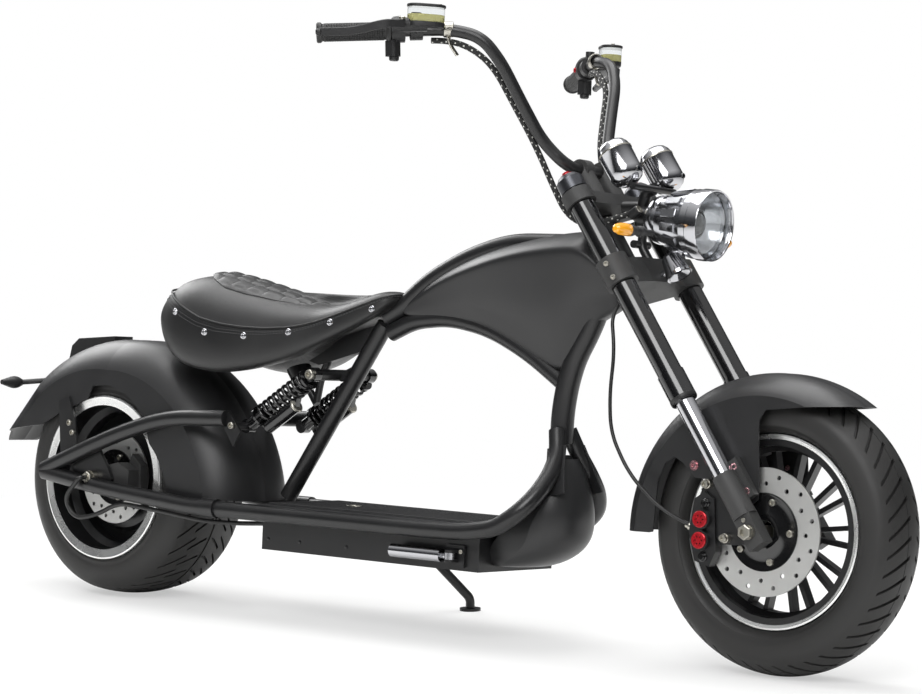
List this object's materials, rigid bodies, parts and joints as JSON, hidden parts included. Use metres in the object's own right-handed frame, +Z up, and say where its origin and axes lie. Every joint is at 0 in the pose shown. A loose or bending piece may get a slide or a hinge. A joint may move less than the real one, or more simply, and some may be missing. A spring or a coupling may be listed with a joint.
{
  "type": "electric chopper scooter",
  "caption": "Low electric chopper scooter: long raked fork, high bars, footboard over the battery, solo saddle, fat tyres, chrome lamp and gauge cups, leaning on its side stand.",
  "frame": {"origin": "where the rear tyre touches the road, as the scooter leans on its side stand", "axes": "+X forward along the wheel line on the road, +Y to the rider's left, +Z up from the road"},
  "size_m": [2.1918, 0.8627, 1.1763],
  "materials": {
    "tyre_rubber": "matt black road tyre",
    "cast_wheel": "satin black casting with a bright machined lip",
    "disc_steel": "ground stainless steel",
    "zinc_steel": "zinc plated steel",
    "frame_paint": "satin black powder coat",
    "cast_black": "sand cast and painted grey black",
    "shell_paint": "matt black paint",
    "fork_paint": "gloss black paint",
    "fork_top": "grey anodised, dark red adjuster",
    "bright_chrome": "polished chrome plate",
    "lamp_glass": "clear moulded lens",
    "signal_plastic": "amber lens on a black stalk",
    "tail_plastic": "red lens in a black housing",
    "grip_rubber": "moulded diamond grip",
    "switch_plastic": "fine grained black plastic",
    "fluid_cup": "translucent cup with a black lid",
    "lever_metal": "black anodised aluminium",
    "saddle_leather": "black quilted vinyl with studs",
    "deck_rubber": "black ribbed rubber mat",
    "damper_metal": "bright and black damper bodies",
    "spring_paint": "gloss black coil",
    "cable_sleeve": "black and white braided sleeve",
    "hose_rubber": "black hose"
  },
  "bodies": {
    "frame": {"rear_axle": "zinc_steel", "backbone": "frame_paint", "down_tube": "frame_paint", "tank_tube": "frame_paint", "deck_rails": "frame_paint", "seat_tube": "frame_paint", "swingarm": "frame_paint", "peg_brackets": "frame_paint", "stand_bracket": "frame_paint", "seat_mount": "frame_paint", "fender_brackets": "frame_paint", "chin_cover": "frame_paint", "battery_box": "frame_paint", "rear_caliper": "cast_black", "tank_shell": "shell_paint", "rear_fender": "shell_paint", "rear_signals": "signal_plastic", "tail_light": "tail_plastic", "battery_pack": "switch_plastic", "seat": "saddle_leather", "deck_board": "deck_rubber", "shock_absorbers": "damper_metal", "shock_springs": "spring_paint", "motor_lead": "hose_rubber"},
    "steering": {"lower_clamp": "cast_black", "upper_clamp": "cast_black", "fork_tubes": "fork_paint", "fork_caps": "fork_top", "fork_sliders": "bright_chrome", "axle_lugs": "cast_black", "front_axle": "zinc_steel", "handlebar": "frame_paint", "grips": "grip_rubber", "bar_controls": "switch_plastic", "reservoirs": "fluid_cup", "brake_levers": "lever_metal", "gauge_pods": "bright_chrome", "headlight_shell": "bright_chrome", "headlight_lens": "lamp_glass", "lamp_bracket": "frame_paint", "horn": "bright_chrome", "front_signals": "signal_plastic", "front_fender": "shell_paint", "front_caliper": "cast_black", "brake_hose": "hose_rubber", "bar_looms": "cable_sleeve"},
    "front_wheel": {"front_tyre": "tyre_rubber", "front_rim": "cast_wheel", "front_disc": "disc_steel"},
    "rear_wheel": {"rear_tyre": "tyre_rubber", "rear_rim": "cast_wheel", "rear_disc": "disc_steel"},
    "side_stand": {"side_stand": "frame_paint"},
    "foot_peg_right": {"foot_peg_right": "bright_chrome"},
    "foot_peg_left": {"foot_peg_left": "bright_chrome"}
  },
  "joints": [
    {"name": "steering", "type": "hinge", "parent": "frame", "child": "steering", "pos_m": [1.55235, -0.00516, 0.22437], "axis": [-0.5779, 0.0555, 0.8142], "range_deg": [-36.9, 33.1]},
    {"name": "front_wheel", "type": "hinge", "parent": "steering", "child": "front_wheel", "pos_m": [1.58498, -0.00226, 0.24733], "axis": [-0.0271, 0.9958, -0.0871], "continuous": true},
    {"name": "rear_wheel", "type": "hinge", "parent": "frame", "child": "rear_wheel", "pos_m": [0, -0.00408, 0.24014], "axis": [0, 0.9977, -0.068], "continuous": true},
    {"name": "side_stand", "type": "hinge", "parent": "frame", "child": "side_stand", "pos_m": [0.64, 0.12412, 0.15052], "axis": [0, 0.8738, 0.4863], "range_deg": [0, 95]},
    {"name": "foot_peg_right", "type": "hinge", "parent": "frame", "child": "foot_peg_right", "pos_m": [0.95, -0.1399, 0.16651], "axis": [0, 0.068, 0.9977], "range_deg": [0, 90]},
    {"name": "foot_peg_left", "type": "hinge", "parent": "frame", "child": "foot_peg_left", "pos_m": [0.95, 0.12049, 0.14876], "axis": [0, -0.068, -0.9977], "range_deg": [0, 90]}
  ]
}
